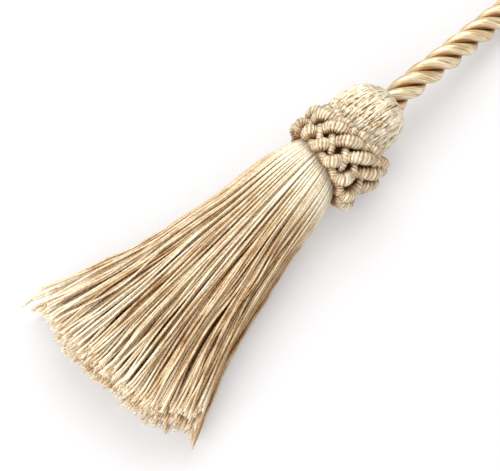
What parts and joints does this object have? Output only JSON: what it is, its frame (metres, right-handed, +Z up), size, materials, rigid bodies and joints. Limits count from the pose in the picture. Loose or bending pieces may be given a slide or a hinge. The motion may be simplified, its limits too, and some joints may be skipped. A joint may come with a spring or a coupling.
{
  "type": "curtain tieback tassel",
  "caption": "Tieback tassel lying flat: fanned skirt of satin strands, knotted collar, thread-covered head and a twisted rope that ends in a bound hanging eye.",
  "frame": {"origin": "on the surface the tassel lies on, below the middle of the tassel without its rope", "axes": "+X along the tassel from the skirt's cut ends to the head and rope, +Z up from the surface"},
  "size_m": [0.2811, 0.0661, 0.0269],
  "materials": {
    "skirt_yarn": "satin yarn, cream gold",
    "collar_gimp": "satin thread wound round a core",
    "head_thread": "satin thread laid lengthwise",
    "rope_satin": "satin, three plies twisted",
    "binding_thread": "satin thread, close wound"
  },
  "bodies": {
    "root": {"skirt": "skirt_yarn", "collar": "collar_gimp", "head": "head_thread", "rope": "rope_satin", "binding": "binding_thread"}
  },
  "joints": []
}
